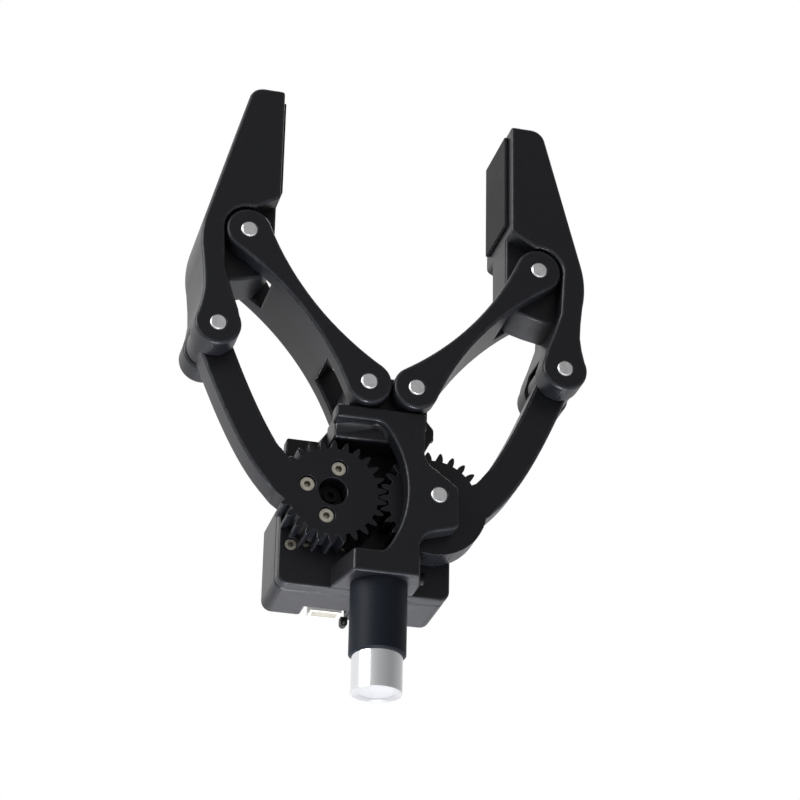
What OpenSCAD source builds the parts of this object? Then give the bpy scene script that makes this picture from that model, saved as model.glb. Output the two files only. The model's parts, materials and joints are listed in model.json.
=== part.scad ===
// Electric two finger gripper: servo driven, geared parallel linkage on a round spigot.
// X runs across the jaws, Y runs from front to back and Z runs up the spigot axis.
// The origin is the centre of the spigot's lower end face. The jaws are drawn open.

/* [Linkage] */
// Module of the two meshed gears
gear_module = 1.5; // [1.4:0.05:1.6]
// Number of teeth on each gear
gear_teeth = 26; // [24:2:28]
// Distance between the two pivots of every arm and link
link_length = 76; // [70:1:84]
// Lean of the arms from the vertical when the jaws are open
open_angle = 40; // [36:1:42]
// Height of the gear axes above the spigot end
drive_z = 76.5; // [74.5:0.5:82]
// Sideways distance of each inner link pivot from the middle
base_x = 9.3; // [9.3:0.1:9.8]
// Height of the inner link pivots above the gear axes
base_rise = 42; // [40:1:46]
// Diameter of every pivot pin
pin_d = 6.5; // [5:0.5:6.5]
// Radius of the round ends of the inner links
eye_r = 8.9; // [8.2:0.1:9]
// Sideways bulge of the arms from the straight line between their pivots
arm_bow = 12.5; // [10:0.5:14]
// Radius of the hollow between each gear and the inner side of its arm
root_fillet = 8; // [4:1:12]

/* [Fingers] */
// Depth of each finger from front to back
finger_depth = 36; // [34:1:40]
// Height of the fingertip above the outer pivot
finger_reach = 106; // [95:1:115]
// Distance of the jaw face inside the outer pivot
jaw_offset = 21.8; // [21:0.1:23]
// Radius of the boss round the outer pivot
boss_r = 9; // [8:0.1:9.2]
// Thickness of the pad that stands out from the jaw face
pad_thick = 1.5; // [1:0.1:2]

/* [Arms] */
// Thickness of the arms and gears
arm_thick = 12; // [10:0.5:12]
// Width of the arms
arm_width = 13; // [11:0.5:13.5]
// Diameter of the round end of each arm at the outer pivot
arm_eye_d = 16.4; // [15:0.2:17]
// Diameter of the centre hole in the drive gear
access_d = 11; // [9:0.5:12]
// Pitch circle of the screws that hold the drive gear to the servo horn
horn_pcd = 20; // [18:0.5:21]

/* [Housing] */
// Thickness of the front frame plate
plate_thick = 8; // [6:0.5:9]
// Underside of the housing above the spigot end
housing_z = 42.5; // [38.5:0.5:42.5]
// Left edge of the servo case
case_left = -37; // [-40:1:-36]
// Right edge of the servo case
case_right = 29.5; // [28:0.5:34]
// Depth of the servo case behind its front plate
case_depth = 26; // [20:1:30]
// Wall thickness of the servo case
case_wall = 2.5; // [2:0.1:3]
// Right-hand side of the window in the front plate, from the middle
window_right = 7.3; // [5:0.1:8]
// Height of the crossbar over the window
bar_height = 5.2; // [4:0.1:6]

/* [Spigot] */
// Diameter of the aluminium spigot that the gripper is held by
spigot_d = 19; // [17:0.5:19]
// Outer diameter of the black sleeve on the spigot
sleeve_d = 21.5; // [20.5:0.5:23]
// Length of bare spigot below the sleeve
spigot_bare = 14.5; // [10:0.5:16]

/* [Clearances] */
// Radial clearance of a pin that turns in a bush
running_gap = 0.05; // [0.02:0.01:0.08]
// Radial clearance of the pin at the upper pivot of each finger
open_pivot_gap = 0.1; // [0.05:0.01:0.15]
// Gap between moving pieces that lie side by side
side_gap = 0.3; // [0.2:0.05:0.4]
// Backlash of the gears, measured along the pitch circle
backlash = 0.36; // [0.2:0.02:0.4]

/* [Hidden] */
$fn = 64;

black = "#26272a";
sleeve_black = "#1d2026";
steel = "#c9cacc";
aluminium = "#d9dbde";
bronze = "#b08d57";

// Linkage points, each as [x, z] on the right-hand side
pitch_r = gear_module * gear_teeth / 2;
lean = link_length * [sin(open_angle), cos(open_angle)];
gear_at = [pitch_r, drive_z];
base_at = [base_x, drive_z + base_rise];
outer_at = gear_at + lean;
upper_at = base_at + lean;
upper_rel = upper_at - outer_at;

// Layers from front to back. The arms, links and fingers share one middle plane.
mid_y = 1.5;
arm_y0 = mid_y - arm_thick / 2;
arm_y1 = mid_y + arm_thick / 2;
plate_y1 = arm_y0 - 0.5;
plate_y0 = plate_y1 - plate_thick;
case_y0 = arm_y1 + 0.5;
case_plate = 6;
case_y1 = case_y0 + case_plate;
case_y2 = case_y1 + case_depth - 1;
lug_half = 9.4;
ear_in = lug_half + side_gap;
ear_out = finger_depth / 2 - 0.5;
fork_half = arm_thick / 2 + side_gap;
finger_y0 = mid_y - finger_depth / 2;
finger_y1 = mid_y + finger_depth / 2;

bush_d = pin_d + 2;
gear_bush_d = pin_d + 3;
frame_top = base_at[1] - eye_r - 0.5;
foot_height = 9;
slab_top = housing_z + foot_height;
neck_d = spigot_d - 1;
block_half = base_x + 6.4;
block_top = base_at[1] + 6.4;
block_chamfer = 3.4;
screw_d = 3;
screw_head_d = 5.5;
small_screw_d = 2.5;
small_head_d = 4.5;
recess_gap = 0.9;
horn_d = 26;
horn_thick = 2.5;
shaft_d = 5.8;
servo_w = 18;
servo_depth = 15;
servo_collar_d = 14;
servo_z0 = housing_z + 8;
servo_top = drive_z + 9;
servo_y1 = case_y1 + servo_depth;
bolt_d = 4.2;
bolt_head_d = 9;
bolt_reach = 14;

// ---- helpers ----

// Extrudes a shape drawn in X and Z between two places on Y
module layer(y0, y1)
    translate([0, y1, 0]) rotate([90, 0, 0]) linear_extrude(y1 - y0) children();

// A round bar or hole along Y through [x, z]
module rod(at, d, y0, y1)
    translate([at[0], y1, at[1]]) rotate([90, 0, 0]) cylinder(d = d, h = y1 - y0);

// A rod with a small chamfer at both ends
module pin(at, d, y0, y1, chamfer = 0.5)
    translate([at[0], y1, at[1]]) rotate([90, 0, 0]) rotate_extrude()
        polygon([[0, 0], [d / 2 - chamfer, 0], [d / 2, chamfer], [d / 2, y1 - y0 - chamfer],
                 [d / 2 - chamfer, y1 - y0], [0, y1 - y0]]);

// A plain bush along Y
module bush(at, bore, outer, y0, y1) difference() {
    rod(at, outer, y0, y1);
    rod(at, bore, y0 - 1, y1 + 1);
}

// Socket head screw along Y: the head starts at y_head and the shank runs to y_tip
module socket_screw(at, d, head_d, y_head, y_tip) {
    dir = y_tip > y_head ? 1 : -1;
    head_h = d;
    translate([at[0], y_head, at[1]]) rotate([-90 * dir, 0, 0]) difference() {
        union() {
            cylinder(d = head_d, h = head_h);
            cylinder(d = d, h = abs(y_tip - y_head));
        }
        translate([0, 0, -1]) cylinder(d = d * 0.95, h = 1 + head_h * 0.6, $fn = 6);
    }
}

module left_hand() mirror([1, 0, 0]) children();

function arc(c, r, a0, a1, n = 10) =
    [for (i = [0:n]) let (a = a0 + (a1 - a0) * i / n) c + r * [cos(a), sin(a)]];

function bezier(p, t) =
    pow(1 - t, 3) * p[0] + 3 * t * pow(1 - t, 2) * p[1] + 3 * t * t * (1 - t) * p[2] + t * t * t * p[3];
function bezier_dir(p, t) =
    let (d = pow(1 - t, 2) * (p[1] - p[0]) + 2 * t * (1 - t) * (p[2] - p[1]) + t * t * (p[3] - p[2]))
    d / norm(d);

// ---- gears and arms ----

pressure = 20;
base_r = pitch_r * cos(pressure);
tip_r = pitch_r + gear_module;
root_r = pitch_r - 1.25 * gear_module;
function inv(a) = tan(a) - a * PI / 180;
function flank(r) =
    (PI * gear_module / 2 - backlash) / (2 * pitch_r) * 180 / PI
    - (inv(acos(min(1, base_r / r))) - inv(pressure)) * 180 / PI;
function polar(r, a) = r * [cos(a), sin(a)];

// Involute gear outline with one tooth centred at the angle phase
module gear_outline(phase) {
    steps = 4;
    radii = [for (i = [0:steps]) base_r + (tip_r - base_r) * i / steps];
    polygon([for (k = [0:gear_teeth - 1]) let (mid = phase + k * 360 / gear_teeth) each concat(
        [polar(root_r, mid - flank(base_r))],
        [for (r = radii) polar(r, mid - flank(r))],
        [for (i = [steps:-1:0]) polar(radii[i], mid + flank(radii[i]))],
        [polar(root_r, mid + flank(base_r))])]);
}

// Arm outline from the gear axis to the outer pivot, bowed outwards, with a hollow on its inner side at the gear
module arm_outline() {
    side = [lean[1], -lean[0]] / link_length;
    path = [[0, 0], lean * 0.04 + side * arm_bow * 1.67, lean * 0.5 + side * arm_bow, lean];
    steps = 24;
    half = arm_width / 2;
    root_end = sqrt(pow(pitch_r + root_fillet, 2) - pow(half + root_fillet, 2));
    root_start = root_end * pitch_r / (pitch_r + root_fillet);
    half_at = function (s) s > root_end ? half
        : half + root_fillet - sqrt(pow(root_fillet, 2) - pow(root_end - max(s, root_start), 2));
    edge = function (i, s) let (p = bezier(path, i / steps), d = bezier_dir(path, i / steps))
        p + s * (s > 0 ? half : half_at(norm(p))) * [d[1], -d[0]];
    polygon(concat([for (i = [0:steps]) edge(i, 1)], [for (i = [steps:-1:0]) edge(i, -1)]));
}

// Gear and arm in one piece, drawn on the right-hand side about the gear axis
module geared_arm(phase) difference() {
    translate([gear_at[0], 0, gear_at[1]]) union() {
        layer(arm_y0, arm_y1) gear_outline(phase);
        layer(arm_y0, arm_y1) arm_outline();
        rod(lean, arm_eye_d, arm_y0, arm_y1);
    }
    rod(outer_at, bush_d, arm_y0 - 1, arm_y1 + 1);
}

horn_screw_angles = [12, 102, 282];
function horn_hole(a) = gear_at + polar(horn_pcd / 2, a);

module drive_arm() color(black) left_hand() difference() {
    geared_arm(180 + 180 / gear_teeth);
    rod(gear_at, access_d, arm_y0 - 1, arm_y1 + 1);
    rod(gear_at, horn_d + 0.2, arm_y1 - horn_thick, arm_y1 + 1);
    for (a = horn_screw_angles) {
        rod(horn_hole(a), screw_d + 0.4, arm_y0 - 1, arm_y1 + 1);
        rod(horn_hole(a), screw_head_d + recess_gap, arm_y0 - 1, arm_y0 + 4);
    }
}

module driven_arm() color(black) difference() {
    union() {
        geared_arm(180);
        // plain rim under the arm root, where no teeth are needed
        translate([gear_at[0], 0, gear_at[1]]) layer(arm_y0, arm_y1)
            polygon(concat([[0, 0]], arc([0, 0], tip_r, -105, -10, 20)));
    }
    rod(gear_at, gear_bush_d, arm_y0 - 1, arm_y1 + 1);
}

module servo_horn() color(black) left_hand() difference() {
    union() {
        rod(gear_at, horn_d, arm_y1 - horn_thick, arm_y1);
        rod(gear_at, 10, arm_y1 - horn_thick - 2, arm_y1);
    }
    rod(gear_at, shaft_d, arm_y1 - horn_thick, arm_y1 + 1);
    rod(gear_at, screw_d + 0.2, arm_y0 - 1, arm_y1 + 1);
    for (a = horn_screw_angles) rod(horn_hole(a), screw_d, arm_y0 - 1, arm_y1 + 1);
}

// Splined shaft of the servo, drawn plain, with a thread for the horn's centre screw
module output_shaft() color(steel) left_hand() difference() {
    rod(gear_at, shaft_d, arm_y1 - horn_thick, case_y1 + 4);
    rod(gear_at, screw_d, arm_y0, arm_y1 + 2);
}

module horn_screws() color(steel) left_hand()
    for (a = horn_screw_angles) socket_screw(horn_hole(a), screw_d, screw_head_d, arm_y0 + 1, arm_y1);

module horn_center_screw() color(black) left_hand()
    socket_screw(gear_at, screw_d, screw_head_d, arm_y1 - horn_thick - 2 - screw_d, arm_y1 - 0.5);

module arm_bush() bush(outer_at, pin_d + 2 * running_gap, bush_d, arm_y0, arm_y1);
module drive_arm_bush() color(bronze) left_hand() arm_bush();
module driven_arm_bush() color(bronze) arm_bush();
module driven_gear_bush() color(bronze)
    bush(gear_at, pin_d + 2 * running_gap, gear_bush_d, arm_y0, arm_y1);
module driven_axle() color(steel) pin(gear_at, pin_d, plate_y0 - 0.2, case_y0 + 4);

// ---- inner links ----

link_waist = 6;
bush_skin = 1;
web_from_base = 18;
web_from_upper = 21;

// Bone shaped side of an inner link: two round ends and one hollow curve along each side
module link_outline() {
    half = link_waist / 2;
    mid = link_length / 2;
    hollow_r = (half * half + mid * mid - eye_r * eye_r) / (2 * (eye_r - half));
    reach = mid * hollow_r / (hollow_r + eye_r);
    difference() {
        union() {
            for (z = [0, link_length]) translate([0, z]) circle(eye_r);
            translate([-eye_r, mid - reach]) square([2 * eye_r, 2 * reach]);
        }
        for (s = [-1, 1]) translate([s * (hollow_r + half), mid]) circle(hollow_r, $fn = 240);
    }
}

// Inner link drawn on the right-hand side: two bone shaped cheeks joined by a web
module inner_link() difference() {
    translate([base_at[0], 0, base_at[1]]) rotate([0, open_angle, 0]) union() {
        for (s = [[mid_y - ear_out, mid_y - ear_in], [mid_y + ear_in, mid_y + ear_out]])
            layer(s[0], s[1]) link_outline();
        layer(mid_y - ear_in, mid_y + ear_in) intersection() {
            link_outline();
            translate([-10, web_from_base]) square([20, link_length - web_from_base - web_from_upper]);
        }
    }
    rod(base_at, bush_d, mid_y - ear_out + bush_skin, mid_y + ear_out - bush_skin);
    rod(base_at, pin_d + 4 * running_gap, finger_y0, finger_y1);
    rod(upper_at, pin_d, finger_y0, finger_y1);
}

module link_bushes()
    for (s = [[mid_y - ear_out + bush_skin, mid_y - ear_in], [mid_y + ear_in, mid_y + ear_out - bush_skin]])
        bush(base_at, pin_d + 2 * running_gap, bush_d, s[0], s[1]);
module link_pin() pin(upper_at, pin_d, mid_y - ear_out - 0.3, mid_y + ear_out + 0.3);

module inner_link_right() color(black) inner_link();
module link_pin_right() color(steel) link_pin();
module link_bushes_right() color(bronze) link_bushes();
module inner_link_left() color(black) left_hand() inner_link();
module link_pin_left() color(steel) left_hand() link_pin();
module link_bushes_left() color(bronze) left_hand() link_bushes();
module base_pins() color(steel) {
    pin(base_at, pin_d, mid_y - ear_out - 0.3, mid_y + ear_out + 0.3);
    left_hand() pin(base_at, pin_d, mid_y - ear_out - 0.3, mid_y + ear_out + 0.3);
}

// ---- fingers ----

arch_r = eye_r + 0.9;
knee_z = upper_rel[1] + 15.5;
leg_in = upper_rel[0] + arch_r;

// Side of a finger about the outer pivot: boss, curved leg, arch and tapering tip
module cheek_outline() {
    tip_round = 6;
    tip_at = [-13.5, finger_reach - tip_round];
    back_at = [-31, upper_rel[1] - 6];
    back_r = 39.4;
    across = tip_at - back_at;
    tilt = atan2(across[1], across[0]) - acos((back_r - tip_round) / norm(across));
    circle(boss_r);
    polygon(concat(
        [[-jaw_offset, knee_z], [-jaw_offset, finger_reach]],
        arc(tip_at, tip_round, 90, tilt),
        arc(back_at, back_r, tilt, -12, 12),
        [[boss_r - 2.3, 20], [boss_r - 2.6, 14], [boss_r - 2, 9], [boss_r, 0],
         [-boss_r, 0], [-boss_r + 1.6, 7], [-4.5, 15], [leg_in - 1.2, 24]],
        arc(upper_rel, arch_r, -12, 100)));
}

// Middle of a finger: jaw face, lug round the upper pivot and the foot above the fork
module core_outline() {
    foot_z = upper_rel[1] - 18;
    translate(upper_rel) circle(eye_r - 0.4);
    polygon([[-jaw_offset, knee_z + 1], [-jaw_offset, foot_z + 8], [-jaw_offset + 5, foot_z + 2],
             [-jaw_offset + 12, foot_z], [leg_in + 1, foot_z - 2], [leg_in + 2, knee_z + 1]]);
    translate([-jaw_offset, foot_z + 12]) circle(1.1, $fn = 24);
}

rib_w = 8;
rib_depth = 3;
pad_z0 = knee_z + 5;
pad_z1 = finger_reach - 2.5;
pad_y0 = finger_y0 + 5;
pad_y1 = finger_y1 - 4;

module finger() translate([outer_at[0], 0, outer_at[1]]) difference() {
    union() {
        layer(finger_y0, finger_y1) cheek_outline();
        layer(mid_y - lug_half, mid_y + lug_half) core_outline();
    }
    layer(mid_y - fork_half, mid_y + fork_half) {
        circle(boss_r + 1.2);
        translate([-20, -20]) square([40, 20]);
    }
    rod([0, 0], pin_d, finger_y0 - 1, finger_y1 + 1);
    rod(upper_rel, bush_d, finger_y0 - 1, finger_y1 + 1);
    translate([-jaw_offset - 1, mid_y - rib_w / 2 - 0.1, pad_z0 + 3.9])
        cube([rib_depth + 1.1, rib_w + 0.2, pad_z1 - pad_z0 - 7.8]);
}

module pad() translate([outer_at[0] - jaw_offset, 0, outer_at[1]]) {
    translate([-pad_thick, pad_y0, pad_z0]) cube([pad_thick, pad_y1 - pad_y0, pad_z1 - pad_z0]);
    translate([-0.5, mid_y - rib_w / 2, pad_z0 + 4]) cube([rib_depth + 0.5, rib_w, pad_z1 - pad_z0 - 8]);
}

module finger_pin() pin(outer_at, pin_d, finger_y0 - 0.2, finger_y1 + 0.2);
module finger_bush() bush(upper_at, pin_d + 2 * open_pivot_gap, bush_d, mid_y - lug_half, mid_y + lug_half);

module finger_right() color(black) finger();
module finger_pin_right() color(steel) finger_pin();
module finger_bush_right() color(bronze) finger_bush();
module pad_right() color("#2c2d2f") pad();
module finger_left() color(black) left_hand() finger();
module finger_pin_left() color(steel) left_hand() finger_pin();
module finger_bush_left() color(bronze) left_hand() finger_bush();
module pad_left() color("#2c2d2f") left_hand() pad();

// ---- housing ----

frame_screw_at = [[-10, frame_top - 5], [10, frame_top - 5], [-12.8, housing_z + 5], [12.8, housing_z + 5]];
frame_screw_tip = mid_y + 2;
set_screw_z = housing_z + 4.6;
foot_right = 15;
window_r = 41.5;
upper_corner = 6;
lower_corner = 4;
column_fillet = 7;
case_step = housing_z + 40;
case_screw_at = [[case_left + 4.7, housing_z + 16], [-4.5, housing_z + 35.5],
                 [case_right - 4.3, housing_z + 35.5]];
rear_screw_at = [case_right - 4.3, housing_z + 4.3];
case_screw_length = 12.4;
rear_screw_tip = case_y0 + 1.5;

// Front plate: a crossbar, a column with an ear round the driven axle, and a foot
module plate_outline() {
    ear_x = gear_at[0] + 7.6;
    column_x = 13.3;
    difference() {
        polygon(concat(
            [[-21, frame_top], [-21, frame_top - 5], [-12.7, frame_top - 8], [-12.7, housing_z],
             [column_x - 1, housing_z]],
            arc([column_x - 1 + column_fillet, housing_z + 12], column_fillet, 180, 95, 7),
            [[ear_x - 1.5, drive_z - 13]],
            arc([ear_x - 2, drive_z - 11], 2, -60, 0, 4),
            arc([ear_x - 3, drive_z + 2], 3, 0, 55, 4),
            [[column_x + 4.5, drive_z + 10.5]],
            arc([column_x + 7.5, drive_z + 17], 7.2, 240, 180, 6),
            [[column_x + 0.6, frame_top]]));
        window();
    }
}

// Window in the front plate: open on the left, hollow on the right, with rounded corners
module window() translate([window_right - window_r, drive_z]) {
    top = frame_top - bar_height - drive_z;
    low = slab_top - drive_z;
    corner_at = function (z, r) [sqrt(pow(window_r - r, 2) - z * z), z];
    upper = corner_at(top - upper_corner, upper_corner);
    lower = corner_at(low + lower_corner, lower_corner);
    polygon(concat([[0, top], [0, low]],
        arc(lower, lower_corner, -90, atan2(lower[1], lower[0]), 5),
        arc([0, 0], window_r, atan2(lower[1], lower[0]), atan2(upper[1], upper[0]), 20),
        arc(upper, upper_corner, atan2(upper[1], upper[0]), 90, 6)));
}

// Block that carries the lower link pins, from the height z0 to its chamfered top
module lug_outline(z0) polygon([
    [-block_half, z0], [block_half, z0], [block_half, block_top - block_chamfer],
    [block_half - block_chamfer, block_top], [-block_half + block_chamfer, block_top],
    [-block_half, block_top - block_chamfer]]);

module front_frame() color(black) difference() {
    union() {
        layer(plate_y0, plate_y1) plate_outline();
        // block between the link ears
        layer(mid_y - lug_half, case_y0) lug_outline(frame_top - bar_height + 1);
        // wall behind the crossbar, just clear of the gear
        layer(plate_y1 - 1, case_y0) translate([-20, drive_z + tip_r + 1])
            square([34, frame_top - 1 - drive_z - tip_r - 1]);
        // foot that joins the front plate to the case
        translate([0, 0, housing_z]) linear_extrude(slab_top - housing_z)
            polygon([[-12.7, plate_y0], [12.3, plate_y0], [foot_right, -2.6], [foot_right, case_y0], [-17, case_y0]]);
    }
    for (s = [-1, 1]) rod([s * base_at[0], base_at[1]], pin_d, plate_y0, case_y1);
    rod(gear_at, pin_d, plate_y0 - 1, plate_y1 + 1);
    for (p = frame_screw_at) rod(p, small_screw_d, frame_screw_tip - 1, case_y1);
    translate([0, 0, housing_z - 1]) cylinder(d = neck_d, h = slab_top - housing_z - 1);
    translate([0, 0, housing_z]) cylinder(d = bolt_d + 1, h = foot_height + 1);
    translate([0, 0, set_screw_z]) rotate([0, 90, 0]) cylinder(d = screw_d, h = 20);
}

shoulder_x = 22.5;
case_corner = 4;

module case_outline() polygon(concat(
    [[case_left, housing_z + 32], [case_left + 1.6, frame_top - 7], [-23, frame_top - 7], [-18, frame_top]],
    [[shoulder_x - 0.5, frame_top], [19, frame_top - 6], [19, drive_z + 12]],
    arc([case_right - case_corner, case_step - case_corner], case_corner, 90, 0, 5),
    arc([case_right - case_corner, housing_z + case_corner], case_corner, 0, -90, 5),
    arc([case_left + case_corner, housing_z + case_corner], case_corner, -90, -180, 5)));

module case_front() color(black) difference() {
    union() {
        layer(case_y0, case_y1) case_outline();
        layer(case_y0, mid_y + lug_half) {
            lug_outline(frame_top - 1);
            polygon([[-18, frame_top - 1], [shoulder_x, frame_top - 1], [shoulder_x, frame_top + 4],
                     [block_half, block_top - block_chamfer], [-block_half, block_top - block_chamfer]]);
        }
    }
    for (s = [-1, 1]) rod([s * base_at[0], base_at[1]], pin_d, case_y0 - 1, case_y1 + 1);
    rod(gear_at, pin_d, case_y0 - 1, case_y0 + 4);
    left_hand() rod(gear_at, servo_collar_d + 0.4, case_y0 - 1, case_y1 + 1);
    translate([0, 0, housing_z - 1]) cylinder(d = neck_d + 1, h = slab_top - housing_z);
    for (p = frame_screw_at) rod(p, small_screw_d + 0.4, case_y0 - 1, case_y1 + 1);
    for (p = concat(case_screw_at, servo_screw_at)) {
        rod(p, small_screw_d + 0.4, case_y0 - 1, case_y1 + 1);
        rod(p, small_head_d + recess_gap, case_y0 - 1, case_y0 + 3.1);
    }
    rod(rear_screw_at, small_screw_d, rear_screw_tip, case_y1 + 1);
}

module box_outline(inset) {
    r = case_corner - inset;
    polygon(concat(
        [[case_left + inset, housing_z + 32 - inset / 2], [case_left + 6.5 + inset / 2, servo_top + 3 - inset],
         [-8 - inset, servo_top + 3 - inset], [-8 - inset, case_step - inset]],
        arc([case_right - case_corner, case_step - case_corner], r, 90, 0, 5),
        arc([case_right - case_corner, housing_z + case_corner], r, 0, -90, 5),
        arc([case_left + case_corner, housing_z + case_corner], r, -90, -180, 5)));
}

socket_x0 = -21.5;
socket_w = 17;

module case_body() color(black) difference() {
    union() {
        difference() {
            layer(case_y1, case_y2) box_outline(0);
            layer(case_y1 - 1, case_y2 - case_wall) box_outline(case_wall);
        }
        for (p = case_screw_at) rod(p, 6, case_y1, case_y2 - 1);
        rod(rear_screw_at, 8, case_y1, case_y2 - 1);
        for (p = board_post_at) rod(p, 5, board_y + board_thick, case_y2 - 1);
    }
    for (p = case_screw_at) rod(p, small_screw_d, case_y1 - 1, case_y1 + 8);
    rod(rear_screw_at, small_screw_d + 0.4, case_y1 - 1, case_y2 + 1);
    rod(rear_screw_at, small_head_d + recess_gap,
        rear_screw_tip + case_screw_length - small_screw_d, case_y2 + 1);
    // opening for the cable socket
    translate([socket_x0, case_y2 - 9, housing_z - 1]) cube([socket_w, 12, 6]);
}

module case_screws() color(steel) {
    for (p = case_screw_at)
        socket_screw(p, small_screw_d, small_head_d, case_y0 + 0.6, case_y0 + 0.6 + case_screw_length);
    socket_screw(rear_screw_at, small_screw_d, small_head_d, rear_screw_tip + case_screw_length, rear_screw_tip);
}

module frame_screws() color(steel)
    for (p = frame_screw_at) socket_screw(p, small_screw_d, small_head_d, case_y1 + small_screw_d, frame_screw_tip);

servo_screw_at = [for (s = [-1, 1], z = [servo_z0 + 10, servo_top - 2.2]) [-gear_at[0] + s * (servo_w / 2 - 2), z]];

module servo_motor() color("#33343a") difference() {
    union() {
        translate([-gear_at[0] - servo_w / 2, case_y1, servo_z0])
            cube([servo_w, servo_y1 - case_y1, servo_top - servo_z0]);
        left_hand() rod(gear_at, servo_collar_d, case_y0 + 0.5, case_y1 + 1);
    }
    left_hand() rod(gear_at, shaft_d + 2 * running_gap, case_y0 - 1, case_y1 + 5);
    for (p = servo_screw_at) rod(p, small_screw_d, case_y1 - 1, servo_y1 - 3);
}

module servo_screws() color(steel)
    for (p = servo_screw_at) socket_screw(p, small_screw_d, small_head_d, case_y0 + 0.6, case_y1 + 6);

board_x0 = -5;
board_z0 = housing_z + 5;
board_y = case_y1 + 9;
board_w = 25;
board_h = 26;
board_thick = 1.6;
board_post_at = [for (x = [3.5, board_w - 3.5], z = [3.5, board_h - 3.5]) [board_x0 + x, board_z0 + z]];

module control_board() color("#1f6b3a") translate([board_x0, board_y, board_z0])
    cube([board_w, board_thick, board_h]);

module cable_socket() color("#e9e7df") difference() {
    translate([socket_x0 + 2.5, case_y2 - 8.5, housing_z - 0.6]) cube([12, 7.5, 4.4]);
    translate([socket_x0 + 3.5, case_y2 - 7.5, housing_z - 1]) cube([10, 5.5, 3.4]);
}

module cable_clip() color(black) difference() {
    layer(case_y2 - 4, case_y2 - 0.5) translate([-4.9, housing_z]) union() {
        translate([-1.4, -2.4]) square([2.8, 2.4]);
        translate([0, -2.4]) circle(1.4);
    }
    rod([-4.9, housing_z - 2.4], 1.2, case_y2 - 5, case_y2);
}

module set_screw() color(black) translate([0, 0, set_screw_z]) rotate([0, 90, 0]) {
    translate([0, 0, neck_d / 2]) cylinder(d = screw_d, h = foot_right + 1 - neck_d / 2);
    translate([0, 0, foot_right]) cylinder(d = screw_head_d - 0.5, h = 2);
}

// ---- spigot ----

plug_d = spigot_d - 5;
plug_h = 6;
bore_depth = 12;

// Bare lower end to be held by, and a slimmer neck that runs through the sleeve into the foot
module spigot() color(aluminium) difference() {
    rotate_extrude() polygon([
        [0, 0.4], [plug_d / 2 + 1.2, 0.4], [plug_d / 2 + 1.6, 0], [spigot_d / 2, 0],
        [spigot_d / 2, spigot_bare], [neck_d / 2, spigot_bare], [neck_d / 2, slab_top - 2], [0, slab_top - 2]]);
    translate([0, 0, -1]) cylinder(d = plug_d, h = bore_depth + 1);
    translate([0, 0, slab_top - bolt_reach - 4]) cylinder(d = bolt_d, h = bolt_reach + 6);
}

module spigot_plug() color(aluminium) translate([0, 0, 0.6]) cylinder(d = plug_d, h = plug_h);

module shaft_sleeve() color(sleeve_black) difference() {
    rotate_extrude() polygon([
        [0, spigot_bare], [sleeve_d / 2 - 0.5, spigot_bare], [sleeve_d / 2, spigot_bare + 0.5],
        [sleeve_d / 2, housing_z], [0, housing_z]]);
    translate([0, 0, spigot_bare - 1]) cylinder(d = neck_d, h = housing_z);
}

// Low domed socket bolt that pulls the spigot into the foot
module spigot_bolt() color(steel) translate([0, 0, slab_top]) difference() {
    head_r = bolt_head_d / 2;
    union() {
        rotate_extrude() polygon([[0, 0], [head_r, 0], [head_r, 0.8], [head_r - 1.3, 2.6], [0, 2.6]]);
        translate([0, 0, -bolt_reach]) cylinder(d = bolt_d, h = bolt_reach + 1);
    }
    translate([0, 0, 1]) cylinder(d = 3, h = 3, $fn = 6);
}

front_frame();
case_front();
case_body();
case_screws();
frame_screws();
servo_motor();
servo_screws();
control_board();
cable_socket();
cable_clip();
set_screw();
shaft_sleeve();
spigot();
spigot_plug();
spigot_bolt();
driven_axle();
base_pins();
drive_arm();
servo_horn();
output_shaft();
horn_screws();
horn_center_screw();
drive_arm_bush();
driven_arm();
driven_gear_bush();
driven_arm_bush();
inner_link_left();
link_pin_left();
link_bushes_left();
inner_link_right();
link_pin_right();
link_bushes_right();
finger_left();
finger_pin_left();
finger_bush_left();
pad_left();
finger_right();
finger_pin_right();
finger_bush_right();
pad_right();
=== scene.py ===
import json
import math

import bmesh
import bpy
from bpy.props import FloatProperty, FloatVectorProperty, PointerProperty
from mathutils import Matrix, Vector


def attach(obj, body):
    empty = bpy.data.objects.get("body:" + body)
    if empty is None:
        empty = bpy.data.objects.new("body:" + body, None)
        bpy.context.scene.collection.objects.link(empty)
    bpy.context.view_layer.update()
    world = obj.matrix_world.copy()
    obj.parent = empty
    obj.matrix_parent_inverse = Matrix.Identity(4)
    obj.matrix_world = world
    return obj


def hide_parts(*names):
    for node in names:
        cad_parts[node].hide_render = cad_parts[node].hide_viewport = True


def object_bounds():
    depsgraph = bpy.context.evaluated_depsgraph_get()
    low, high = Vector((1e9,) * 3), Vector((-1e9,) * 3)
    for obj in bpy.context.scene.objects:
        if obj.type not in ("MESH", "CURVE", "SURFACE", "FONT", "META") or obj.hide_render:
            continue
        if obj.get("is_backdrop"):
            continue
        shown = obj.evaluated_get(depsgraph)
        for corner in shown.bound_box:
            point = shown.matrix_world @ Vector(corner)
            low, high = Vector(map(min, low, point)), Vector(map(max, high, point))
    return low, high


bl_info = {
    "name": "Two Finger Gripper",
    "version": (1, 0, 0),
    "blender": (4, 5, 0),
    "location": "View3D > Sidebar > Gripper",
    "description": "Moulded, machined and rubber finishes for an electric two finger gripper",
    "category": "Object",
}

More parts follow.
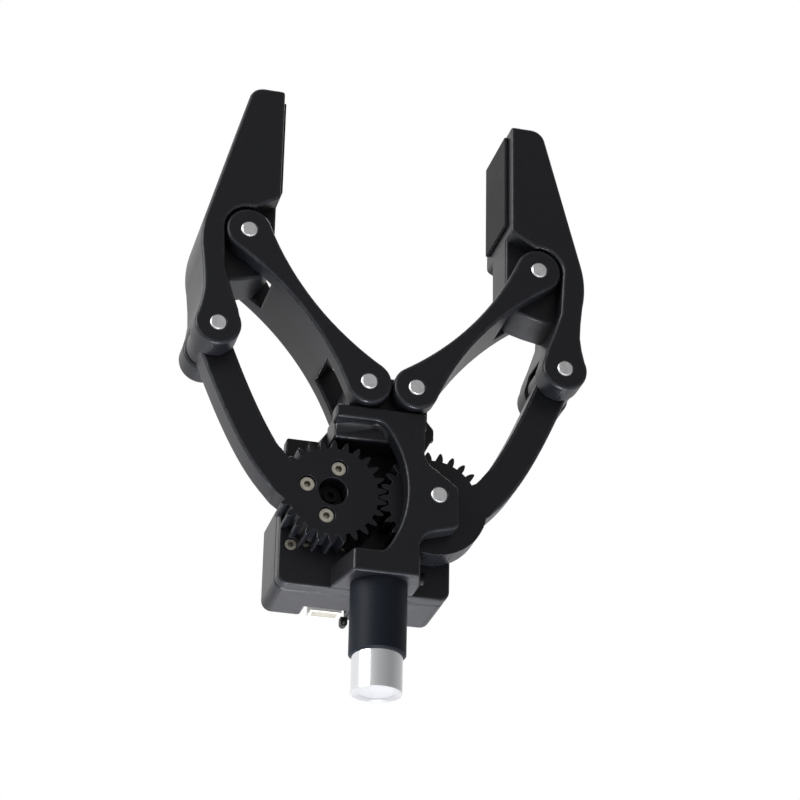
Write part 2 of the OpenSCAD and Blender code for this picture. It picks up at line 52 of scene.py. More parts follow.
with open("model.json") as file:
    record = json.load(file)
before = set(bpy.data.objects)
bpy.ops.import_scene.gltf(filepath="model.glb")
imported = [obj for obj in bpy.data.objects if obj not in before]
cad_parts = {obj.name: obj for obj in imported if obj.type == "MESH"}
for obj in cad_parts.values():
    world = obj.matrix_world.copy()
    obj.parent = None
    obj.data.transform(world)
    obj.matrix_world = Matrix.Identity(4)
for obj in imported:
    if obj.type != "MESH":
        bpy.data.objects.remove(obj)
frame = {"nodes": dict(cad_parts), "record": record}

# edges of the moulded pieces, in metres and radians
MERGE_DISTANCE = 1e-6
FLAT_ANGLE = math.radians(0.6)
SHARP_ANGLE = math.radians(35)
SHADED_SHARP_ANGLE = math.radians(40)
LONGEST_RIM = 0.04
EDGE_STEPS = 3
FINE_STEPS = 1

# widths of the lamps, the floor's depth below the gripper and the way to the front of the room
LARGE_LAMP = 0.9
SMALL_LAMP = 0.4
FLOOR_GAP = 0.0002
ROOM_FRONT = (0.3, -0.85, 0.43)
WHITE = (1.0, 1.0, 1.0)

# sockets of a Mix node that mixes colours
MIX_FACTOR, MIX_A, MIX_B, MIX_RESULT = 0, 6, 7, 2


# ---- sizes and colours ----

class GripperNylon(bpy.types.PropertyGroup):
    colour: FloatVectorProperty(
        name="Colour", description="Base colour of the moulded nylon", subtype="COLOR", size=3,
        min=0, max=1, default=(0.0064, 0.0067, 0.0086))
    # paler than the nylon: rubbed edges, and partly a painted highlight on the rounded edges
    rubbed_and_highlight_colour: FloatVectorProperty(
        name="Rubbed and highlight colour", description="Colour of edges that have been rubbed", subtype="COLOR", size=3,
        min=0, max=1, default=(0.034, 0.035, 0.040))
    roughness: FloatProperty(
        name="Roughness", description="Mean roughness of the surface", min=0.1, max=1, default=0.37)
    shine: FloatProperty(
        name="Shine", description="Strength of the clear reflection", min=0, max=1, default=0.26)
    grain: FloatProperty(
        name="Grain", description="Size of the fine surface grain", unit="LENGTH", min=0.0001, max=0.002,
        default=0.00060)
    grain_depth: FloatProperty(
        name="Grain depth", description="Depth of the fine surface grain", unit="LENGTH", min=0,
        max=0.0001, default=0.000056)
    edge_radius: FloatProperty(
        name="Edge radius", description="Rounding of the moulded outer edges", unit="LENGTH", min=0.0001,
        max=0.0015, default=0.0012)
    fine_radius: FloatProperty(
        name="Fine radius", description="Rounding of the rims of holes", unit="LENGTH", min=0.0001,
        max=0.0005, default=0.00025)
    tooth_radius: FloatProperty(
        name="Tooth radius", description="Rounding of the gear teeth", unit="LENGTH", min=0.00005,
        max=0.0003, default=0.00015)
    gear_reach: FloatProperty(
        name="Gear reach", description="Distance from a gear's axis within which edges are rounded finely",
        unit="LENGTH", min=0.02, max=0.03, default=0.0225)


class GripperMetal(bpy.types.PropertyGroup):
    aluminium: FloatVectorProperty(
        name="Aluminium", description="Colour of the turned spigot", subtype="COLOR", size=3,
        min=0, max=1, default=(0.80, 0.81, 0.83))
    pin_steel: FloatVectorProperty(
        name="Pin steel", description="Colour of the pivot pins", subtype="COLOR", size=3,
        min=0, max=1, default=(0.70, 0.70, 0.71))
    black_steel: FloatVectorProperty(
        name="Black steel", description="Colour of the blackened screws", subtype="COLOR", size=3,
        min=0, max=1, default=(0.012, 0.012, 0.013))
    screw_steel: FloatVectorProperty(
        name="Screw steel", description="Colour of the socket screws", subtype="COLOR", size=3,
        min=0, max=1, default=(0.60, 0.57, 0.49))
    bronze: FloatVectorProperty(
        name="Bronze", description="Colour of the sintered bushes", subtype="COLOR", size=3,
        min=0, max=1, default=(0.43, 0.27, 0.12))
    turning_pitch: FloatProperty(
        name="Turning pitch", description="Spacing of the marks left by the lathe", unit="LENGTH",
        min=0.00005, max=0.001, default=0.00022)


class GripperTrim(bpy.types.PropertyGroup):
    pad_colour: FloatVectorProperty(
        name="Pad colour", description="Colour of the rubber pads", subtype="COLOR", size=3,
        min=0, max=1, default=(0.021, 0.021, 0.022))
    pad_radius: FloatProperty(
        name="Pad radius", description="Rounding of the pads' edges", unit="LENGTH", min=0.0001,
        max=0.0006, default=0.0004)
    sleeve_colour: FloatVectorProperty(
        name="Sleeve colour", description="Colour of the sleeve on the spigot", subtype="COLOR", size=3,
        min=0, max=1, default=(0.0085, 0.0110, 0.0165))
    servo_colour: FloatVectorProperty(
        name="Servo colour", description="Colour of the servo motor and its horn", subtype="COLOR", size=3,
        min=0, max=1, default=(0.008, 0.008, 0.010))
    socket_colour: FloatVectorProperty(
        name="Socket colour", description="Colour of the cable socket", subtype="COLOR", size=3,
        min=0, max=1, default=(0.74, 0.72, 0.66))
    socket_radius: FloatProperty(
        name="Socket radius", description="Rounding of the cable socket's edges", unit="LENGTH", min=0.0001,
        max=0.0004, default=0.0002)
    clip_radius: FloatProperty(
        name="Clip radius", description="Rounding of the cable clip's edges", unit="LENGTH", min=0.0001,
        max=0.0005, default=0.0003)


class GripperStudio(bpy.types.PropertyGroup):
    azimuth: FloatProperty(
        name="Azimuth", description="Camera angle round the gripper", subtype="ANGLE",
        default=math.radians(-14.0))
    elevation: FloatProperty(
        name="Elevation", description="Camera angle above the horizon", subtype="ANGLE",
        default=math.radians(-25.85))
    roll: FloatProperty(
        name="Roll", description="Turn of the camera about its own axis", subtype="ANGLE",
        default=math.radians(1.18))
    distance: FloatProperty(
        name="Distance", description="Camera distance from the point it looks at", unit="LENGTH",
        min=0.3, max=3, default=0.9489)
    lens: FloatProperty(
        name="Lens", description="Focal length of the camera", min=20, max=300, default=117.0)
    aim: FloatVectorProperty(
        name="Aim", description="Point the camera looks at", subtype="XYZ", unit="LENGTH", size=3,
        default=(-0.00483, -0.04603, 0.09709))
    floor_colour: FloatVectorProperty(
        name="Floor colour", description="Colour of the floor", subtype="COLOR", size=3, min=0, max=1,
        default=(0.82, 0.82, 0.82))
    floor_size: FloatProperty(
        name="Floor size", description="Width of the floor", unit="LENGTH", min=1, max=20, default=9.0)
    side_power: FloatProperty(
        name="Side power", description="Power of the large soft lamp on the left", min=0, max=200,
        default=13.0)
    low_power: FloatProperty(
        name="Low power", description="Power of the small lamp straight below", min=0, max=200,
        default=20.0)
    under_power: FloatProperty(
        name="Under power", description="Power of the soft lamp below the back", min=0, max=200, default=5.0)
    low_colour: FloatVectorProperty(
        name="Low colour", description="Colour of the lamps under the floor", subtype="COLOR", size=3,
        min=0, max=1, default=(0.89, 0.91, 1.0))
    back_power: FloatProperty(
        name="Back power", description="Power of the soft lamp behind", min=0, max=200, default=7.0)
    sky: FloatProperty(
        name="Sky", description="Strength of the even light all round", min=0, max=1, default=0.25)
    front_shade: FloatProperty(
        name="Front shade", description="Brightness of the front of the room, as polished pieces show it",
        min=0, max=1, default=0.52)
    right_shade: FloatProperty(
        name="Right shade", description="Brightness of the right of the room, as polished pieces show it",
        min=0, max=1, default=0.6)


# ---- shader helpers ----

GROUPS = {}


def add(tree, kind, sockets=None, **settings):
    """A new shader node. Each socket takes another node's socket or a plain value."""
    node = tree.nodes.new("ShaderNode" + kind)
    for key, value in settings.items():
        setattr(node, key, value)
    for key, value in (sockets or {}).items():
        if isinstance(value, bpy.types.NodeSocket):
            tree.links.new(value, node.inputs[key])
        else:
            node.inputs[key].default_value = value
    return node


def maths(tree, operation, a, b=0.0, clamp=False):
    """The result of one step of arithmetic."""
    return add(tree, "Math", {0: a, 1: b}, operation=operation, use_clamp=clamp).outputs[0]


def spread(tree, value, low, high, to_low=0.0, to_high=1.0):
    """Maps a value from one range to another and holds it inside."""
    return add(tree, "MapRange", {"Value": value, "From Min": low, "From Max": high,
                                  "To Min": to_low, "To Max": to_high}).outputs["Result"]


def blend_colours(tree, factor, a, b):
    """Goes from colour a to colour b as the factor goes from 0 to 1."""
    node = tree.nodes.new("ShaderNodeMix")
    node.data_type = "RGBA"
    tree.links.new(factor, node.inputs[MIX_FACTOR])
    for socket, colour in ((node.inputs[MIX_A], a), (node.inputs[MIX_B], b)):
        if isinstance(colour, bpy.types.NodeSocket):
            tree.links.new(colour, socket)
        else:
            socket.default_value = (*colour, 1.0)
    return node.outputs[MIX_RESULT]


def shaded(colour, share):
    """A colour made darker or lighter."""
    return tuple(channel * share for channel in colour)


def shader_group(name, inputs, outputs, build):
    """A node group whose build function gives the socket that feeds each output."""
    group = bpy.data.node_groups.new(name, "ShaderNodeTree")
    for socket, default in inputs:
        made = group.interface.new_socket(socket, in_out="INPUT", socket_type="NodeSocketFloat")
        made.default_value = default
    for socket, kind in outputs:
        group.interface.new_socket(socket, in_out="OUTPUT", socket_type=kind)
    start = group.nodes.new("NodeGroupInput")
    end = group.nodes.new("NodeGroupOutput")
    for socket, value in build(group, start.outputs).items():
        group.links.new(value, end.inputs[socket])
    return group


def place(tree, group, **values):
    """Puts a shared group into a material with the material's own values."""
    node = tree.nodes.new("ShaderNodeGroup")
    node.node_tree = GROUPS[group]
    for key, value in values.items():
        node.inputs[key].default_value = value
    return node.outputs


def grain_group():
    """Fine, uneven grain of a moulded or cast surface."""
    def build(tree, given):
        where = add(tree, "TexCoord").outputs["Object"]
        scale = maths(tree, "DIVIDE", 1.0, given["Size"])
        fine = add(tree, "TexNoise", {"Vector": where, "Scale": scale, "Detail": 2.0, "Roughness": 0.6})
        cells = add(tree, "TexVoronoi", {"Vector": where, "Scale": maths(tree, "MULTIPLY", scale, 0.8)},
                    feature="SMOOTH_F1")
        height = maths(tree, "ADD", maths(tree, "MULTIPLY", fine.outputs["Fac"], 0.6),
                       maths(tree, "MULTIPLY", cells.outputs["Distance"], 0.6))
        return {"Height": maths(tree, "MULTIPLY", height, given["Depth"]),
                "Specks": spread(tree, fine.outputs["Fac"], low=0.35, high=0.65)}
    return shader_group("Moulded grain", [("Size", 0.0004), ("Depth", 0.00002)],
                        [("Height", "NodeSocketFloat"), ("Specks", "NodeSocketFloat")], build)


def wear_group():
    """Rubbed edges, broken up by noise, on the faces that the rounding made; the same mask carries a painted
    edge highlight.
    """
    def build(tree, given):
        edge = add(tree, "Attribute", attribute_name="rounded").outputs["Fac"]
        where = add(tree, "TexCoord").outputs["Object"]
        noise = add(tree, "TexNoise", {"Vector": where, "Scale": 420.0, "Detail": 4.0}).outputs["Fac"]
        breaks = spread(tree, noise, low=0.38, high=0.66, to_low=0.25)
        mask = maths(tree, "MULTIPLY", edge, breaks)
        return {"Mask": maths(tree, "MULTIPLY", mask, given["Amount"], clamp=True)}
    return shader_group("Edge wear", [("Amount", 0.5)], [("Mask", "NodeSocketFloat")], build)


def smear_group():
    """Slow changes of gloss, as handling leaves them."""
    def build(tree, given):
        where = add(tree, "TexCoord").outputs["Object"]
        wide = add(tree, "TexNoise", {"Vector": where, "Scale": 38.0, "Detail": 5.0, "Roughness": 0.55,
                                      "Distortion": 0.6})
        shift = maths(tree, "SUBTRACT", wide.outputs["Fac"], 0.5)
        change = maths(tree, "MULTIPLY", shift, given["Change"])
        return {"Roughness": maths(tree, "ADD", given["Level"], change, clamp=True)}
    return shader_group("Handled gloss", [("Level", 0.5), ("Change", 0.2)],
                        [("Roughness", "NodeSocketFloat")], build)


def turned_group():
    """Rings left by a lathe round the vertical axis."""
    def build(tree, given):
        where = add(tree, "TexCoord").outputs["Object"]
        xyz = add(tree, "SeparateXYZ", {0: where}).outputs
        squares = (maths(tree, "POWER", xyz["X"], 2.0), maths(tree, "POWER", xyz["Y"], 2.0))
        radius = maths(tree, "SQRT", maths(tree, "ADD", *squares))
        along = maths(tree, "DIVIDE", maths(tree, "ADD", radius, xyz["Z"]), given["Pitch"])
        uneven = add(tree, "TexNoise", {"W": along, "Scale": 0.9, "Detail": 3.0}, noise_dimensions="1D")
        wave = maths(tree, "SINE", maths(tree, "MULTIPLY", along, 2 * math.pi))
        return {"Rings": maths(tree, "ADD", maths(tree, "MULTIPLY", wave, 0.25), uneven.outputs["Fac"])}
    return shader_group("Turning marks", [("Pitch", 0.0002)], [("Rings", "NodeSocketFloat")], build)


def principled(name, sockets):
    """A new material with the given constants on its Principled shader."""
    material = bpy.data.materials.new(name)
    material.use_nodes = True
    tree = material.node_tree
    shader = next(n for n in tree.nodes if n.type == "BSDF_PRINCIPLED")
    for key, value in sockets.items():
        shader.inputs[key].default_value = value
    return material, tree, shader


def join(tree, shader, colour, roughness, height, distance=1.0, strength=1.0):
    """Feeds the shader. A height in metres goes with a distance of 1, a plain mask with its depth."""
    bump = add(tree, "Bump", {"Height": height, "Distance": distance, "Strength": strength})
    tree.links.new(colour, shader.inputs["Base Color"])
    tree.links.new(roughness, shader.inputs["Roughness"])
    tree.links.new(bump.outputs["Normal"], shader.inputs["Normal"])


def black_nylon(name, nylon, grain=1.0, wear=0.5, gloss=0.0):
    """Black moulded nylon with a fine grain and rubbed edges, which are smoother and paler; the paler colour
    is partly rubbing and partly a painted edge highlight.
    """
    material, tree, shader = principled(name, {"IOR": 1.5, "Specular IOR Level": nylon.shine})
    texture = place(tree, "grain", Size=nylon.grain * grain, Depth=nylon.grain_depth * grain)
    # mask of the rubbed edges, which also carries the painted edge highlight
    rub_and_highlight_mask = place(tree, "wear", Amount=wear)["Mask"]
    speckled = blend_colours(tree, texture["Specks"], shaded(nylon.colour, 0.9), shaded(nylon.colour, 1.12))
    # painted highlight: the rounded edges are painted paler, partly rubbing and partly standing in for the
    # light they catch
    colour = blend_colours(tree, rub_and_highlight_mask, speckled, tuple(nylon.rubbed_and_highlight_colour))
    rough = place(tree, "smear", Level=nylon.roughness - gloss, Change=0.07)["Roughness"]
    rough = maths(tree, "SUBTRACT", rough, maths(tree, "MULTIPLY", rub_and_highlight_mask, 0.16), clamp=True)
    join(tree, shader, colour, rough, texture["Height"])
    return material


def turned_metal(name, metal, roughness, depth):
    """Aluminium turned on a lathe round the vertical axis."""
    material, tree, shader = principled(name, {"Metallic": 1.0})
    rings = place(tree, "turned", Pitch=metal.turning_pitch)["Rings"]
    rough = place(tree, "smear", Level=roughness, Change=0.12)["Roughness"]
    rough = maths(tree, "ADD", rough, maths(tree, "MULTIPLY", rings, 0.06), clamp=True)
    shade = blend_colours(tree, spread(tree, rings, low=0.2, high=0.9), shaded(metal.aluminium, 0.9),
                          tuple(metal.aluminium))
    join(tree, shader, shade, rough, rings, distance=depth, strength=0.7)
    return material


def drawn_metal(name, colour, roughness, tarnish=0.4, painted_shade=0.0):
    """Ground bar or screw stock, with faint streaks, a little tarnish and painted shade that darkens its
    hollows.
    """
    material, tree, shader = principled(name, {"Metallic": 1.0})
    where = add(tree, "TexCoord").outputs["Object"]
    streaks = add(tree, "TexNoise", {"Vector": where, "Scale": 1400.0, "Detail": 3.0})
    spots = add(tree, "TexNoise", {"Vector": where, "Scale": 520.0, "Detail": 4.0})
    dull = maths(tree, "MULTIPLY", spread(tree, spots.outputs["Fac"], low=0.45, high=0.7), tarnish)
    shade = blend_colours(tree, dull, tuple(colour), shaded(colour, 0.6))
    # painted shade: ambient occlusion darkens recesses such as screw sockets, where shade falls
    if painted_shade:
        open_sky = add(tree, "AmbientOcclusion", {"Distance": 0.0016}, samples=8).outputs["AO"]
        shade_mask = spread(tree, open_sky, low=0.35, high=0.85, to_low=1.0, to_high=0.0)
        shade = blend_colours(tree, maths(tree, "MULTIPLY", shade_mask, painted_shade), shade, (0.02, 0.019, 0.017))
    gloss = place(tree, "smear", Level=roughness, Change=0.15)["Roughness"]
    rough = maths(tree, "ADD", gloss, maths(tree, "MULTIPLY", streaks.outputs["Fac"], 0.08), clamp=True)
    join(tree, shader, shade, rough, streaks.outputs["Fac"], distance=0.000012, strength=0.6)
    return material


def rubber(name, colour):
    """Dull moulded rubber."""
    material, tree, shader = principled(name, {"IOR": 1.45, "Specular IOR Level": 0.16})
    texture = place(tree, "grain", Size=0.0007, Depth=0.00004)
    shade = blend_colours(tree, texture["Specks"], shaded(colour, 2 / 3), tuple(colour))
    rough = place(tree, "smear", Level=0.66, Change=0.16)["Roughness"]
    join(tree, shader, shade, rough, texture["Height"])
    return material


def smooth_plastic(name, colour, roughness, soil=0.12, shine=0.5):
    """Smooth moulded plastic, a little darker in specks where it is soiled."""
    material, tree, shader = principled(name, {"IOR": 1.5, "Specular IOR Level": shine})
    texture = place(tree, "grain", Size=0.0009, Depth=0.000012)
    shade = blend_colours(tree, texture["Specks"], shaded(colour, 1 - soil), tuple(colour))
    rough = place(tree, "smear", Level=roughness, Change=0.12)["Roughness"]
    join(tree, shader, shade, rough, texture["Height"])
    return material


def circuit_board(name):
    """Green solder mask with copper tracks showing through it."""
    material, tree, shader = principled(name, {"IOR": 1.5, "Coat Weight": 0.4})
    where = add(tree, "TexCoord").outputs["Object"]
    tracks = add(tree, "TexVoronoi", {"Vector": where, "Scale": 300.0}, feature="DISTANCE_TO_EDGE")
    gaps = spread(tree, tracks.outputs["Distance"], low=0.08, high=0.12)
    colour = blend_colours(tree, gaps, (0.05, 0.20, 0.07), (0.010, 0.085, 0.030))
    rough = place(tree, "smear", Level=0.34, Change=0.1)["Roughness"]
    join(tree, shader, colour, rough, gaps, distance=0.00002, strength=0.5)
    return material


# ---- shapes ----

def outer_edges(mesh):
    """Sharp edges that stand out of the solid."""
    return [edge for edge in mesh.edges if len(edge.link_faces) == 2 and edge.is_convex
            and edge.calc_face_angle(0.0) > SHARP_ANGLE and edge.calc_length() > MERGE_DISTANCE]


def chains(edges):
    """Groups of edges that touch each other."""
    left, groups = set(edges), []
    while left:
        chain, ends = [], [left.pop()]
        while ends:
            edge = ends.pop()
            chain.append(edge)
            for other in {near for vertex in edge.verts for near in vertex.link_edges} & left:
                left.discard(other)
                ends.append(other)
        groups.append(chain)
    return groups


def rounded(mesh, edges, radius, steps, marks):
    """Rounds edges and marks the new faces, which the edge rubbing and painted edge highlight look for."""
    whole = [edge for edge in edges if edge.is_valid]
    made = bmesh.ops.bevel(mesh, geom=whole, offset=radius, offset_type="OFFSET", segments=steps,
                           profile=0.5, affect="EDGES", clamp_overlap=False, miter_outer="ARC", material=-1)
    for face in made["faces"]:
        face[marks] = 1.0


def softened(node, material, body, radius, fine_radius=None, gear=None):
    """A copy of a solid with its outer edges rounded, which stands for the solid.

    With a fine radius, short loops of edges, which are the rims of holes, get that rounding, and so
    do edges near a gear's axis, given as (centre, reach)."""
    source = frame["nodes"][node]
    mesh = bmesh.new()
    mesh.from_mesh(source.data)
    bmesh.ops.remove_doubles(mesh, verts=mesh.verts, dist=MERGE_DISTANCE)
    bmesh.ops.dissolve_limit(mesh, angle_limit=FLAT_ANGLE, verts=mesh.verts, edges=mesh.edges,
                             use_dissolve_boundaries=False)
    marks = mesh.faces.layers.float.new("rounded")
    wide, fine = [], []
    for chain in chains(outer_edges(mesh)):
        rim = fine_radius and sum(edge.calc_length() for edge in chain) < LONGEST_RIM
        for edge in chain:
            toothed = gear and min((vertex.co - gear[0]).xz.length for vertex in edge.verts) < gear[1]
            (fine if rim or toothed else wide).append(edge)
    rounded(mesh, wide, radius, EDGE_STEPS, marks)
    rounded(mesh, fine, fine_radius or radius, FINE_STEPS, marks)
    bmesh.ops.recalc_face_normals(mesh, faces=mesh.faces)
    data = bpy.data.meshes.new(node + "_moulding")
    mesh.to_mesh(data)
    mesh.free()
    piece = bpy.data.objects.new(node + "_moulding", data)
    bpy.context.scene.collection.objects.link(piece)
    data.materials.append(material)
    data.shade_smooth()
    data.set_sharp_from_angle(angle=SHADED_SHARP_ANGLE)
    weighted = piece.modifiers.new("Even shading", "WEIGHTED_NORMAL")
    weighted.keep_sharp = True
    weighted.weight = 60
    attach(piece, body)
    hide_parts(node)


def pivot(name):
    """A point on the axis of a joint."""
    joint = next(j for j in frame["record"]["behaviour"]["joints"] if j["name"] == name)
    return Vector(joint["pos_m"])


def dress(nodes, material):
    """Gives the CAD solids a finish and leaves their shape alone."""
    for name in nodes:
        data = frame["nodes"][name].data
        data.materials.clear()
        data.materials.append(material)


# ---- operators ----

class GRIPPER_OT_shared_effects(bpy.types.Operator):
    """Makes the shader groups that the finishes share"""
    bl_idname = "gripper.shared_effects"
    bl_label = "Shared Effects"

    def execute(self, context):
        GROUPS.update(grain=grain_group(), wear=wear_group(), smear=smear_group(), turned=turned_group())
        return {"FINISHED"}


class GRIPPER_OT_fingers(bpy.types.Operator):
    """Rounds and finishes the two fingers and their rubber pads"""
    bl_idname = "gripper.fingers"
    bl_label = "Fingers"

    def execute(self, context):
        nylon = context.scene.gripper_nylon
        trim = context.scene.gripper_trim
        finish = black_nylon("Finger nylon", nylon, wear=0.45)
        pad_finish = rubber("Pad rubber", trim.pad_colour)
        for side in ("left", "right"):
            softened("finger_" + side, finish, "jaw_" + side, nylon.edge_radius, nylon.fine_radius)
            softened("pad_" + side, pad_finish, "jaw_" + side, trim.pad_radius)
        return {"FINISHED"}


class GRIPPER_OT_linkage(bpy.types.Operator):
    """Rounds and finishes the geared arms and the inner links"""
    bl_idname = "gripper.linkage"
    bl_label = "Linkage"

    def execute(self, context):
        nylon = context.scene.gripper_nylon
        finish = black_nylon("Linkage nylon", nylon, grain=0.9, wear=0.5)
        gears = black_nylon("Gear nylon", nylon, grain=0.8, wear=0.7, gloss=0.04)
        for arm, side, joint in (("drive_arm", "left", "jaw_drive"),
                                 ("driven_arm", "right", "driven_gear_turn")):
            softened(arm, gears, "arm_" + side, nylon.edge_radius, nylon.tooth_radius,
                     gear=(pivot(joint), nylon.gear_reach))
        for side in ("left", "right"):
            softened("inner_link_" + side, finish, "link_" + side, nylon.edge_radius, nylon.fine_radius)
        return {"FINISHED"}


class GRIPPER_OT_housing(bpy.types.Operator):
    """Rounds and finishes the front frame, the servo case and the cable parts"""
    bl_idname = "gripper.housing"
    bl_label = "Housing"

    def execute(self, context):
        nylon = context.scene.gripper_nylon
        trim = context.scene.gripper_trim
        finish = black_nylon("Housing nylon", nylon, grain=1.1, wear=0.4)
        for node, share in (("front_frame", 0.8), ("case_front", 0.7), ("case_body", 1.0)):
            softened(node, finish, "housing", nylon.edge_radius * share, nylon.fine_radius)
        softened("cable_clip", finish, "housing", trim.clip_radius)
        socket_finish = smooth_plastic("Socket plastic", trim.socket_colour, roughness=0.42)
        softened("cable_socket", socket_finish, "housing", trim.socket_radius)
        return {"FINISHED"}


class GRIPPER_OT_metalwork(bpy.types.Operator):
    """Finishes the spigot, its sleeve, the pins, the screws and the bushes"""
    bl_idname = "gripper.metalwork"
    bl_label = "Metalwork"

    def execute(self, context):
        metal = context.scene.gripper_metal
        trim = context.scene.gripper_trim
        dress(["spigot", "spigot_plug"], turned_metal("Turned aluminium", metal, roughness=0.15, depth=3e-6))
        dress(["base_pins", "driven_axle", "link_pin_left", "link_pin_right", "finger_pin_left",
               "finger_pin_right", "output_shaft"], drawn_metal("Pin steel", metal.pin_steel, roughness=0.34))
        # the screws get painted shade in their sockets
        dress(["case_screws", "frame_screws", "servo_screws", "horn_screws", "spigot_bolt"],
              drawn_metal("Screw steel", metal.screw_steel, roughness=0.36, tarnish=0.56, painted_shade=0.9))
        dress(["set_screw", "horn_center_screw"],
              drawn_metal("Black steel", metal.black_steel, roughness=0.45))
        dress(["link_bushes_left", "link_bushes_right", "finger_bush_left", "finger_bush_right",
               "drive_arm_bush", "driven_arm_bush", "driven_gear_bush"],
              drawn_metal("Sintered bronze", metal.bronze, roughness=0.45, tarnish=0.64))
        dress(["shaft_sleeve"],
              smooth_plastic("Sleeve", trim.sleeve_colour, roughness=0.5, soil=0.2, shine=0.1))
        return {"FINISHED"}


class GRIPPER_OT_drive(bpy.types.Operator):
    """Finishes the servo motor, its horn and the control board"""
    bl_idname = "gripper.drive"
    bl_label = "Drive"

    def execute(self, context):
        servo_colour = context.scene.gripper_trim.servo_colour
        dress(["servo_motor", "servo_horn"],
              smooth_plastic("Servo plastic", servo_colour, roughness=0.45, shine=0.2))
        dress(["control_board"], circuit_board("Circuit board"))
        return {"FINISHED"}


def pale_floor(studio):
    """Pale floor that is partly lit by itself to the lens and wholly so in reflections.

    It is clear from underneath and lets the light of the lamps below it through."""
    material = bpy.data.materials.new("Pale floor")
    material.use_nodes = True
    tree = material.node_tree
    tree.nodes.clear()
    matt = add(tree, "BsdfDiffuse", {"Color": (*studio.floor_colour, 1.0)})
    pale = add(tree, "Emission", {"Color": (*studio.floor_colour, 1.0), "Strength": 1.0})
    clear = add(tree, "BsdfTransparent")
    light = add(tree, "LightPath").outputs
    seen = maths(tree, "MAXIMUM", light["Is Glossy Ray"], light["Is Transmission Ray"])
    shown = maths(tree, "MAXIMUM", seen, maths(tree, "MULTIPLY", light["Is Camera Ray"], 0.55))
    top = add(tree, "MixShader", {0: shown, 1: matt.outputs[0], 2: pale.outputs[0]})
    under = maths(tree, "MAXIMUM", add(tree, "NewGeometry").outputs["Backfacing"], light["Is Shadow Ray"])
    both = add(tree, "MixShader", {0: under, 1: top.outputs[0], 2: clear.outputs[0]})
    out = add(tree, "OutputMaterial")
    tree.links.new(both.outputs[0], out.inputs["Surface"])
    return material


def white_room(scene, studio):
    """Even light all round, plain white to the lens, and dimmer ahead and on the right in reflections."""
    world = bpy.data.worlds.new("Studio")
    scene.world = world
    world.use_nodes = True
    tree = world.node_tree
    tree.nodes.clear()
    even = add(tree, "Background", {"Color": (*WHITE, 1.0), "Strength": studio.sky})
    white = add(tree, "Background", {"Color": (*WHITE, 1.0), "Strength": 1.0})
    way = add(tree, "TexCoord").outputs["Generated"]
    ahead = add(tree, "VectorMath", {0: way, 1: ROOM_FRONT}, operation="DOT_PRODUCT").outputs["Value"]
    across = add(tree, "SeparateXYZ", {0: way}).outputs["X"]
    front = spread(tree, ahead, low=-0.2, high=0.9, to_low=1.0, to_high=studio.front_shade)
    right = spread(tree, across, low=-0.3, high=0.8, to_low=1.0, to_high=studio.right_shade)
    dim = maths(tree, "MULTIPLY", front, right)
    shown = add(tree, "Background", {"Color": (*WHITE, 1.0), "Strength": dim})
    light = add(tree, "LightPath").outputs
    seen = maths(tree, "MAXIMUM", light["Is Camera Ray"], light["Is Transmission Ray"])
    soft = add(tree, "MixShader", {0: light["Is Glossy Ray"], 1: even.outputs[0], 2: shown.outputs[0]})
    mixed = add(tree, "MixShader", {0: seen, 1: soft.outputs[0], 2: white.outputs[0]})
    out = add(tree, "OutputWorld")
    tree.links.new(mixed.outputs[0], out.inputs["Surface"])


def lamp(name, power, size, target, offset, colour=WHITE, under_floor=False):
    """A round soft lamp that faces its target from the given offset."""
    data = bpy.data.lights.new(name, "AREA")
    data.energy = power
    data.shape = "DISK"
    data.size = size
    data.color = colour
    # only shadow rays pass the floor, so a lamp below it is sampled from the lamp alone
    data.cycles.use_multiple_importance_sampling = not under_floor
    made = bpy.data.objects.new(name, data)
    bpy.context.scene.collection.objects.link(made)
    made.location = target + Vector(offset)
    made.rotation_euler = (target - made.location).to_track_quat("-Z", "Y").to_euler()


def aimed_camera(scene, studio):
    """A camera that looks at the aim point from the studio's angles and distance."""
    turn, lift = studio.azimuth, studio.elevation
    back = Vector((math.sin(turn) * math.cos(lift), -math.cos(turn) * math.cos(lift), math.sin(lift)))
    right = (-back).cross(Vector((0, 0, 1))).normalized()
    up = right.cross(-back)
    facing = Matrix((right, up, back)).transposed()
    data = bpy.data.cameras.new("camera")
    data.lens = studio.lens
    data.sensor_width = 36.0
    data.clip_start = 0.01
    camera = bpy.data.objects.new("camera", data)
    camera.matrix_world = (Matrix.Translation(Vector(studio.aim) + back * studio.distance)
                           @ (facing @ Matrix.Rotation(studio.roll, 3, "Z")).to_4x4())
    scene.collection.objects.link(camera)
    scene.camera = camera


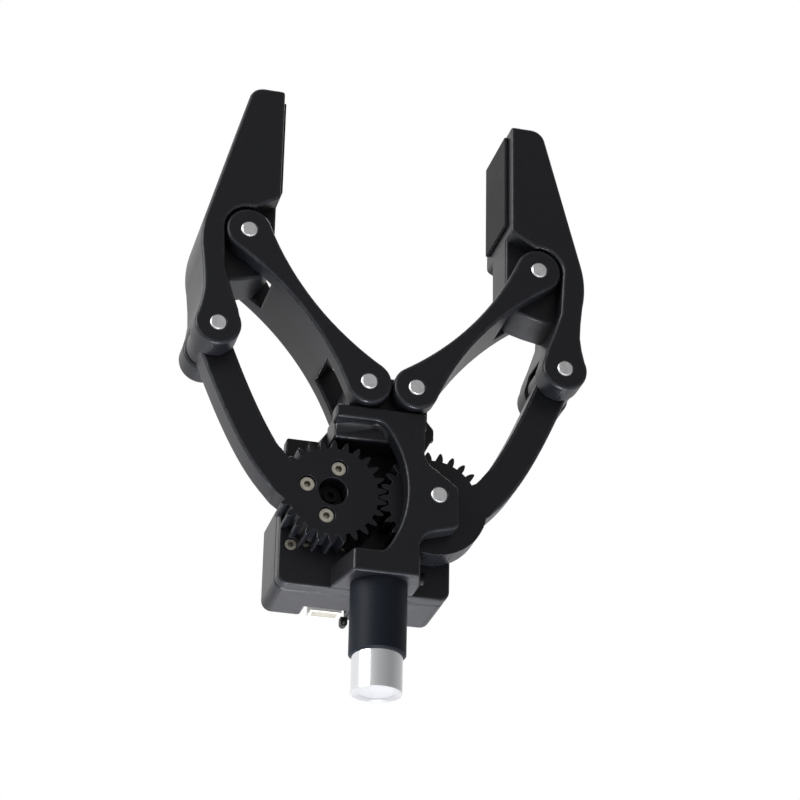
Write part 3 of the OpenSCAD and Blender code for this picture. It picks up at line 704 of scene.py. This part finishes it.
class GRIPPER_OT_studio(bpy.types.Operator):
    """Makes the floor, the lamps and the camera"""
    bl_idname = "gripper.studio"
    bl_label = "Studio"

    def execute(self, context):
        scene = context.scene
        studio = scene.gripper_studio
        scene.view_settings.view_transform = "Standard"
        half = studio.floor_size / 2
        data = bpy.data.meshes.new("floor")
        data.from_pydata([(-half, -half, 0), (half, -half, 0), (half, half, 0), (-half, half, 0)], [],
                         [(0, 1, 2, 3)])
        data.materials.append(pale_floor(studio))
        floor = bpy.data.objects.new("floor", data)
        floor.location.z = -FLOOR_GAP
        scene.collection.objects.link(floor)
        floor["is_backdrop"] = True
        white_room(scene, studio)
        low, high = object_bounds()
        middle = (low + high) / 2
        lamp("side", studio.side_power, LARGE_LAMP, middle, (-0.95, -0.35, 0.45))
        lamp("low", studio.low_power, SMALL_LAMP, middle, (-0.05, -0.04, -1.1), studio.low_colour,
             under_floor=True)
        lamp("under", studio.under_power, LARGE_LAMP, middle, (0.1, 0.6, -0.8), studio.low_colour,
             under_floor=True)
        lamp("back", studio.back_power, LARGE_LAMP, middle, (0.3, 0.7, 1.1))
        aimed_camera(scene, studio)
        return {"FINISHED"}


class GRIPPER_PT_panel(bpy.types.Panel):
    bl_label = "Two Finger Gripper"
    bl_idname = "GRIPPER_PT_panel"
    bl_space_type = "VIEW_3D"
    bl_region_type = "UI"
    bl_category = "Gripper"

    def draw(self, context):
        scene = context.scene
        for group in (scene.gripper_nylon, scene.gripper_metal, scene.gripper_trim, scene.gripper_studio):
            box = self.layout.box()
            for name in group.__annotations__:
                box.prop(group, name)
        for operator in OPERATORS:
            self.layout.operator(operator.bl_idname)


OPERATORS = (GRIPPER_OT_shared_effects, GRIPPER_OT_housing, GRIPPER_OT_linkage, GRIPPER_OT_fingers,
             GRIPPER_OT_metalwork, GRIPPER_OT_drive, GRIPPER_OT_studio)
CLASSES = (GripperNylon, GripperMetal, GripperTrim, GripperStudio, *OPERATORS, GRIPPER_PT_panel)


def register():
    for made in CLASSES:
        bpy.utils.register_class(made)
    bpy.types.Scene.gripper_nylon = PointerProperty(type=GripperNylon)
    bpy.types.Scene.gripper_metal = PointerProperty(type=GripperMetal)
    bpy.types.Scene.gripper_trim = PointerProperty(type=GripperTrim)
    bpy.types.Scene.gripper_studio = PointerProperty(type=GripperStudio)


def unregister():
    del bpy.types.Scene.gripper_studio
    del bpy.types.Scene.gripper_trim
    del bpy.types.Scene.gripper_metal
    del bpy.types.Scene.gripper_nylon
    for made in reversed(CLASSES):
        bpy.utils.unregister_class(made)


def main():
    register()
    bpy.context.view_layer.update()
    for operator in OPERATORS:
        group, name = operator.bl_idname.split(".")
        getattr(getattr(bpy.ops, group), name)()


if __name__ == "__main__":
    main()
